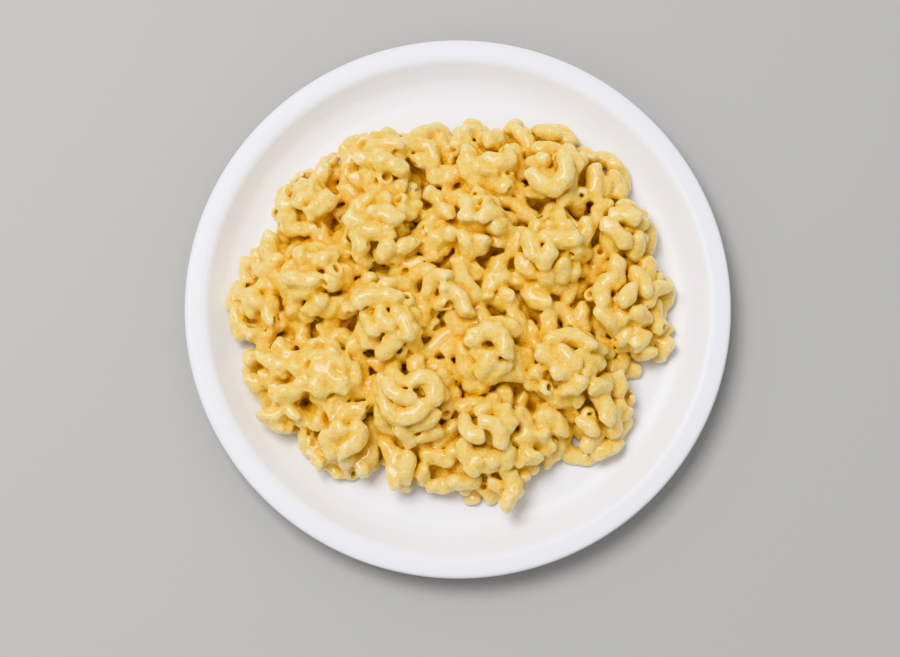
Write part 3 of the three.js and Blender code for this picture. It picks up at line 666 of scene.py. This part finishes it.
class Heap:
    """The distance outside the sauced heap on a grid: -softness * log(sum of
    exp(-distance / softness)) over all elbows and the sauce under them, which rounds every
    corner between two of them. The sauce is then cleared out of the gaps, swollen by lumps and
    curds, and cut off by the plate."""

    def __init__(self, elbows, spoonfuls):
        reach = np.abs(elbows.balls_now()).max((0, 1)) + GRID_MARGIN + TUBE_RADIUS
        self.grid = Grid((-reach[0], -reach[1], WELL_FLOOR - GRID_UNDER), reach, GRID_CELL)
        nodes = np.meshgrid(*self.grid.axes, indexing="ij", sparse=True)
        patches = cloud(self.grid, WET_PATCH, WET_SEED)
        wetness = np.clip(0.5 - nodes[0] / WET_SPAN + 0.5 * patches, 0, 1)
        self.softness = between(FILLET_SOFTNESS, wetness)
        self.total = np.full(self.grid.shape, NO_SAUCE, np.float32)
        self.bare = np.full(self.grid.shape, GRID_MARGIN, np.float32)
        self.add_sauce(spoonfuls)
        self.add_elbows(elbows)
        self.distance = -self.softness * np.log(self.total)
        self.open_gaps(spoonfuls)
        self.distance += between(LUMPS, wetness) * cloud(self.grid, LUMP_SIZE, LUMP_SEED)
        self.distance += between(CURDS, wetness) * cloud(self.grid, CURD_SIZE, CURD_SEED)
        np.maximum(self.distance, well_distance(*nodes), out=self.distance)
        self.close_border()

    def add_sauce(self, spoonfuls):
        """Adds the solid sauce inside each spoonful to the sum."""
        for spoonful in spoonfuls:
            middle = np.array([spoonful[0], spoonful[1], WELL_FLOOR])
            cut, x, y, z = self.grid.part(middle, max(spoonful[2:]))
            distance = spoonful_distance(spoonful, x, y, z)
            self.total[cut] += np.exp(-distance / self.softness[cut])

    def add_elbows(self, elbows):
        """Adds each elbow to the sum, and keeps the distance outside the bare elbows too."""
        for i, place in enumerate(elbows.place):
            half_length = elbows.bend[i] * elbows.sweep[i] / 2
            cut, x, y, z = self.grid.part(place, half_length + TUBE_RADIUS + GRID_MARGIN)
            distance = elbow_distance(elbows, i, x, y, z)
            self.total[cut] += np.exp(-distance / self.softness[cut])
            self.bare[cut] = np.minimum(self.bare[cut], distance)

    def open_gaps(self, spoonfuls):
        """Clears the sauce, but no elbow, out of the gaps: pits that narrow to a point at the
        gaps' depth, or just over the plate."""
        gaps = np.array(GAPS, float)
        tops = WELL_FLOOR + height_at(spoonfuls, gaps[:, 0], gaps[:, 1], TUBE_RADIUS)
        for (middle_x, middle_y, radius), top in zip(gaps, tops):
            middle = np.array([middle_x, middle_y, top])
            depth = min(GAP_DEPTH, top - WELL_FLOOR - GAP_FLOOR)
            cut, x, y, z = self.grid.part(middle, GAP_DEPTH)
            across = np.hypot(x - middle_x, y - middle_y)
            pit = across - (radius + GAP_WIDENING) * np.minimum((z - top) / depth + 1, 1)
            cleared = np.minimum(self.bare[cut] - GAP_LINING, -pit)
            self.distance[cut] = np.maximum(self.distance[cut], cleared)

    def close_border(self):
        """Keeps the heap off the grid's outer faces, so that its surface is closed."""
        for axis in range(3):
            faces = np.moveaxis(self.distance, axis, 0)
            faces[0] = faces[-1] = GRID_CELL

    def shelter(self, reach):
        """The share of the space within a reach of each node that the heap fills: a running
        mean along each axis in turn."""
        filled = (self.distance < 0).astype(np.float32)
        half = round(reach / self.grid.cell)
        for axis in range(3):
            pad = [(0, 0)] * 3
            pad[axis] = (half + 1, half)
            running = np.cumsum(np.pad(filled, pad, mode="edge"), axis=axis, dtype=np.float32)
            ahead = np.take(running, range(2 * half + 1, running.shape[axis]), axis=axis)
            behind = np.take(running, range(running.shape[axis] - 2 * half - 1), axis=axis)
            filled = (ahead - behind) / (2 * half + 1)
        return filled


def wrap(distance, grid):
    """The surface where the distance is nought, by surface nets: each grid cell that it crosses
    gets one point, the mean of where it crosses the cell's edges, and each crossed edge joins
    the points of the four cells round it."""
    cells = np.array(grid.shape)
    crossings, owners, quads = [], [], []
    for axis in range(3):
        near = np.moveaxis(distance, axis, 0)[:-1]
        far = np.moveaxis(distance, axis, 0)[1:]
        start = np.moveaxis((near < 0) != (far < 0), 0, axis)
        index = np.argwhere(start)
        share = np.moveaxis(near / (near - far), 0, axis)[start]
        point = index.astype(float)
        point[:, axis] += share
        b, c = np.eye(3, dtype=int)[[(axis + 1) % 3, (axis + 2) % 3]]
        around = [np.ravel_multi_index((index - step).T, cells) for step in (0 * b, b, b + c, c)]
        quad = np.stack(around, axis=1)
        leaving = np.moveaxis(near < 0, 0, axis)[start]
        quad[~leaving] = quad[~leaving, ::-1]
        quads.append(quad)
        crossings.append(np.repeat(point, 4, axis=0))
        owners.append(np.stack(around, axis=1).ravel())
    owner, which = np.unique(np.concatenate(owners), return_inverse=True)
    crossing = np.vstack(crossings)
    count = np.bincount(which)
    mean = np.stack([np.bincount(which, crossing[:, k]) / count for k in range(3)], axis=1)
    faces = np.searchsorted(owner, np.vstack(quads))
    return grid.low + grid.cell * mean, faces


def keep_bodies(points, faces, least_volume):
    """Drops the closed bodies under a volume, and the sealed hollows, whose volume is negative.
    Points get the lowest number that they are joined to, until nothing changes."""
    label = np.arange(len(points))
    while True:
        lowest_near = label[faces].min(1)
        new = label.copy()
        np.minimum.at(new, faces.ravel(), np.repeat(lowest_near, 4))
        new = new[new]
        if (new == label).all():
            break
        label = new
    a, b, c, d = (points[faces[:, k]] for k in range(4))
    volume = np.einsum("ij,ij->i", a, np.cross(b, c) + np.cross(c, d)) / 6
    body = label[faces[:, 0]]
    total = np.bincount(body, volume, len(points))
    kept = faces[total[body] > least_volume]
    used, faces = np.unique(kept, return_inverse=True)
    return points[used], faces.reshape(-1, 4)


def thinned(piece, triangles):
    """The piece with its mesh collapsed to a number of triangles, fewest where it is flattest."""
    now = sum(len(polygon.vertices) - 2 for polygon in piece.data.polygons)
    modifier = piece.modifiers.new("thin", "DECIMATE")
    modifier.ratio = min(1, triangles / now)
    modifier.use_collapse_triangulate = True
    evaluated = piece.evaluated_get(bpy.context.evaluated_depsgraph_get())
    mesh = bpy.data.meshes.new_from_object(evaluated)
    piece.modifiers.clear()
    piece.data = mesh
    return piece


def paint(piece, name, values):
    """Stores a number for each point of the piece, for its material to read."""
    attribute = piece.data.attributes.new(name, "FLOAT", "POINT")
    attribute.data.foreach_set("value", np.asarray(values, np.float32))


# ---- materials -----------------------------------------------------------------------


def linear(colour):
    """A linear colour from sRGB hex, such as "f2c14e"."""
    c = np.array([int(colour[k : k + 2], 16) / 255 for k in (0, 2, 4)])
    c = np.where(c <= 0.04045, c / 12.92, ((c + 0.055) / 1.055) ** 2.4)
    return (*c.tolist(), 1.0)


def find_input(node, name):
    """A node's input, by its name with underscores for spaces or by n and its number."""
    if name[0] == "n" and name[1:].isdigit():
        return node.inputs[int(name[1:])]
    return node.inputs[name.replace("_", " ")]


def add_node(tree, kind, settings=None, **inputs):
    """Adds a node of a kind, sets its own settings, and sets or links each named input."""
    node = tree.nodes.new(kind)
    for name, value in (settings or {}).items():
        setattr(node, name, value)
    for name, value in inputs.items():
        socket = find_input(node, name)
        if isinstance(value, bpy.types.NodeSocket):
            tree.links.new(value, socket)
        else:
            socket.default_value = value
    return node


def add_range(tree, value, span, results):
    """The value brought from a span to a pair of results, and held between them."""
    node = add_node(
        tree,
        "ShaderNodeMapRange",
        n0=value,
        n1=span[0],
        n2=span[1],
        n3=results[0],
        n4=results[1],
    )
    return node.outputs["Result"]


def add_colour_stops(tree, value, positions, colours):
    """The colour for a value, blended between the colours at the stops' positions."""
    ramp = add_node(tree, "ShaderNodeValToRGB", Fac=value)
    stops = ramp.color_ramp.elements
    for position in positions[1:-1]:
        stops.new(position)
    for stop, position, colour in zip(stops, positions, colours):
        stop.position = position
        stop.color = (*colour, 1)
    return ramp.outputs["Color"]


def new_material(name):
    """A material with an empty tree of nodes, and that tree."""
    material = bpy.data.materials.new(name)
    material.use_nodes = True
    material.node_tree.nodes.clear()
    return material, material.node_tree


def finish_material(tree, shader):
    """Sends the shader to the material's surface."""
    add_node(tree, "ShaderNodeOutputMaterial", Surface=shader.outputs["BSDF"])


def glazed_porcelain(settings):
    """White hotel porcelain, jiggered and glazed: a soft gloss over a white body, with the
    faintest waviness in the glaze."""
    material, tree = new_material("glazed porcelain")
    place = add_node(tree, "ShaderNodeTexCoord").outputs["Object"]
    waves = add_node(tree, "ShaderNodeTexNoise", Vector=place, Scale=WAVE_SCALE, Detail=2.0)
    bump = add_node(
        tree,
        "ShaderNodeBump",
        Height=waves.outputs["Fac"],
        Strength=WAVE_STRENGTH,
        Distance=WAVE_HEIGHT,
    )
    shader = add_node(
        tree,
        "ShaderNodeBsdfPrincipled",
        Base_Color=(*settings.glaze_colour, 1),
        Roughness=GLAZE_ROUGHNESS,
        IOR=GLAZE_IOR,
        Normal=bump.outputs["Normal"],
    )
    finish_material(tree, shader)
    return material


def sauced_macaroni(settings):
    """Boiled wheat pasta in a warm cheese sauce: proud places look pale, partly from thinner sauce
    and partly from painted highlight, hollows and creases get amber and the gaps brown painted
    shade, light sinks in a little, and a wet coat glints on top."""
    material, tree = new_material("sauced macaroni")
    place = add_node(tree, "ShaderNodeTexCoord").outputs["Object"]
    shelter = add_node(tree, "ShaderNodeAttribute", {"attribute_name": "shelter"}).outputs["Fac"]
    patches = add_node(
        tree,
        "ShaderNodeTexNoise",
        Vector=place,
        Scale=PATCH_SCALE,
        Detail=4.0,
        Roughness=PATCH_ROUGHNESS,
    )
    uneven = add_range(
        tree, patches.outputs["Fac"], PATCH_SPAN, (-PATCH_STRENGTH, PATCH_STRENGTH)
    )
    # Where the place falls along the stops of painted shade and highlight: its shelter, shifted by
    # random patches.
    depth = add_node(tree, "ShaderNodeMath", {"operation": "ADD"}, n0=shelter, n1=uneven)
    colours = (
        settings.crest_and_highlight_colour,
        settings.sauce_colour,
        settings.hollow_shade_colour,
        settings.crease_shade_colour,
        settings.gap_shade_colour,
    )
    # The colour holds painted shade, amber to brown, in hollows, creases and gaps, and a paler crest
    # that is partly painted highlight.
    colour = add_colour_stops(tree, depth.outputs["Value"], SHADE_AND_HIGHLIGHT_STOPS, colours)
    wet = add_range(tree, shelter, COAT_SPAN, (COAT, 0.0))
    grains = add_node(tree, "ShaderNodeTexNoise", Vector=place, Scale=GRAIN_SCALE, Detail=2.0)
    bump = add_node(
        tree,
        "ShaderNodeBump",
        Height=grains.outputs["Fac"],
        Strength=GRAIN_STRENGTH,
        Distance=GRAIN_HEIGHT,
    )
    shader = add_node(
        tree,
        "ShaderNodeBsdfPrincipled",
        {"subsurface_method": "RANDOM_WALK"},
        Base_Color=colour,
        Roughness=SAUCE_ROUGHNESS,
        Specular_IOR_Level=SAUCE_GLOSS,
        IOR=SAUCE_IOR,
        Subsurface_Weight=SINK_IN,
        Subsurface_Radius=SINK_REACH,
        Subsurface_Scale=SINK_DEPTH,
        Coat_Weight=wet,
        Coat_Roughness=COAT_ROUGHNESS,
        Coat_IOR=COAT_IOR,
        Normal=bump.outputs["Normal"],
    )
    finish_material(tree, shader)
    return material


def matt_floor(settings):
    """A plain pale studio floor, brushed smooth and unpolished."""
    material, tree = new_material("matt floor")
    shader = add_node(
        tree,
        "ShaderNodeBsdfPrincipled",
        Base_Color=(*settings.floor_colour, 1),
        Roughness=FLOOR_ROUGHNESS,
    )
    finish_material(tree, shader)
    return material


# ---- settings ------------------------------------------------------------------------


def colour_property(name, description, default):
    """A colour that can be set, with its default in sRGB hex."""
    return bpy.props.FloatVectorProperty(
        name=name,
        description=description,
        default=linear(default)[:3],
        subtype="COLOR",
        size=3,
        min=0,
        max=1,
    )


class PlateSettings(bpy.types.PropertyGroup):
    glaze_colour: colour_property("Glaze", "Colour of the porcelain under its glaze", "eaebf0")


class FoodSettings(bpy.types.PropertyGroup):
    # Colours along the stops of shelter. The hollows', creases' and gaps' colours are painted shade,
    # and the crests' paler colour is partly painted highlight.
    crest_and_highlight_colour: colour_property("Crests", "Colour of the proudest sauce", "fde6b0")
    sauce_colour: colour_property("Sauce", "Colour of the well-lit sauce", "fbd882")
    hollow_shade_colour: colour_property("Hollows", "Colour of the sauce in hollows", "f8cf66")
    crease_shade_colour: colour_property("Creases", "Colour of the sauce in creases", "f0ba42")
    gap_shade_colour: colour_property("Gaps", "Colour deep between the elbows", "bc7610")


class StageSettings(bpy.types.PropertyGroup):
    floor_colour: colour_property("Floor", "Colour of the floor", "b7b6b3")
    key_power: bpy.props.FloatProperty(
        name="Key light",
        description="Power of the main light",
        default=39.0,
        min=0,
        unit="POWER",
    )
    sky_strength: bpy.props.FloatProperty(
        name="Sky", description="Brightness of the even light from all round", default=0.56, min=0
    )


# ---- operators -----------------------------------------------------------------------


class MACARONI_OT_plate(bpy.types.Operator):
    """Turn the plate from its section"""

    bl_idname = "macaroni.plate"
    bl_label = "Plate"

    def execute(self, context):
        points, faces = lathe(plate_profile(), PLATE_SIDES)
        plate = make_mesh("porcelain_plate", points, faces, glazed_porcelain(context.scene.plate))
        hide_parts("plate")
        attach(plate, "root")
        return {"FINISHED"}


class MACARONI_OT_food(bpy.types.Operator):
    """Pour, settle and sauce the macaroni"""

    bl_idname = "macaroni.food"
    bl_label = "Macaroni and cheese"

    def execute(self, context):
        spoonfuls = make_spoonfuls()
        laid = lay_elbows(spoonfuls)
        poured = pour_elbows(spoonfuls, len(laid))
        elbows = Elbows(np.vstack([laid, poured]), len(laid))
        settle(elbows, spoonfuls)
        heap = Heap(elbows, spoonfuls)
        points, faces = keep_bodies(*wrap(heap.distance, heap.grid), LEAST_BODY)
        material = sauced_macaroni(context.scene.food)
        whole = make_mesh("sauced_elbows", points, faces.tolist(), material)
        food = thinned(whole, HEAP_TRIANGLES)
        at = np.array([vertex.co for vertex in food.data.vertices]) / MM
        # Shelter of each point, which the sauce's material turns into painted shade and painted
        # highlight.
        shelters = [heap.grid.sample(heap.shelter(reach), at) for reach in SHELTER_REACHES]
        paint(food, "shelter", between(shelters, WIDE_SHARE))
        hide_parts("macaroni_cheese")
        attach(food, "root")
        return {"FINISHED"}


def add_area_light(name, bearing, height, distance, size, power):
    """An area light that faces the plate from a distance: bearing is its direction in plan, in
    degrees from +X, and height is its angle over the horizon."""
    light = bpy.data.lights.new(name, "AREA")
    light.size = size
    light.energy = power
    lamp = bpy.data.objects.new(name, light)
    bpy.context.scene.collection.objects.link(lamp)
    around, up = radians(bearing), radians(height)
    level = math.cos(up)
    towards = Vector((level * math.cos(around), level * math.sin(around), math.sin(up)))
    lamp.location = towards * distance
    lamp.rotation_euler = towards.to_track_quat("Z", "Y").to_euler()
    return lamp


def add_camera(location, target, lens):
    """The scene's camera, at a location and turned to a target."""
    camera = bpy.data.cameras.new("camera")
    camera.lens = lens
    holder = bpy.data.objects.new("camera", camera)
    bpy.context.scene.collection.objects.link(holder)
    holder.location = location
    holder.rotation_euler = (Vector(target) - Vector(location)).to_track_quat("-Z", "Y").to_euler()
    bpy.context.scene.camera = holder


class MACARONI_OT_stage(bpy.types.Operator):
    """Lay the floor and set the camera and the lights"""

    bl_idname = "macaroni.stage"
    bl_label = "Stage"

    def execute(self, context):
        settings = context.scene.stage
        far = FLOOR_REACH
        corners = [(-far, -far, 0), (far, -far, 0), (far, far, 0), (-far, far, 0)]
        make_mesh("floor", corners, [(0, 1, 2, 3)], matt_floor(settings))
        add_camera(CAMERA_PLACE, CAMERA_TARGET, CAMERA_LENS)
        add_area_light("key", KEY_BEARING, KEY_HEIGHT, KEY_DISTANCE, KEY_SIZE, settings.key_power)
        world = bpy.data.worlds.new("studio")
        world.use_nodes = True
        sky = world.node_tree.nodes["Background"]
        sky.inputs["Color"].default_value = (1, 1, 1, 1)
        sky.inputs["Strength"].default_value = settings.sky_strength
        context.scene.world = world
        context.scene.view_settings.view_transform = "Khronos PBR Neutral"
        return {"FINISHED"}


class MACARONI_PT_panel(bpy.types.Panel):
    """Lists the pieces and their settings"""

    bl_idname = "MACARONI_PT_panel"
    bl_label = "Macaroni and Cheese"
    bl_space_type = "VIEW_3D"
    bl_region_type = "UI"
    bl_category = "Macaroni"

    def draw(self, context):
        scene = context.scene
        for settings, operator in zip((scene.plate, scene.food, scene.stage), OPERATORS):
            box = self.layout.box()
            for name in settings.__annotations__:
                box.prop(settings, name)
            box.operator(operator.bl_idname)


SETTINGS = (PlateSettings, FoodSettings, StageSettings)
OPERATORS = (MACARONI_OT_plate, MACARONI_OT_food, MACARONI_OT_stage)
CLASSES = (*SETTINGS, *OPERATORS, MACARONI_PT_panel)


def register():
    """Makes the classes and their settings known to Blender."""
    for kind in CLASSES:
        bpy.utils.register_class(kind)
    bpy.types.Scene.plate = bpy.props.PointerProperty(type=PlateSettings)
    bpy.types.Scene.food = bpy.props.PointerProperty(type=FoodSettings)
    bpy.types.Scene.stage = bpy.props.PointerProperty(type=StageSettings)


def unregister():
    """Takes them away again."""
    del bpy.types.Scene.plate, bpy.types.Scene.food, bpy.types.Scene.stage
    for kind in reversed(CLASSES):
        bpy.utils.unregister_class(kind)


def main():
    """Makes every piece and the stage."""
    register()
    bpy.ops.macaroni.plate()
    bpy.ops.macaroni.food()
    bpy.ops.macaroni.stage()


if __name__ == "__main__":
    main()
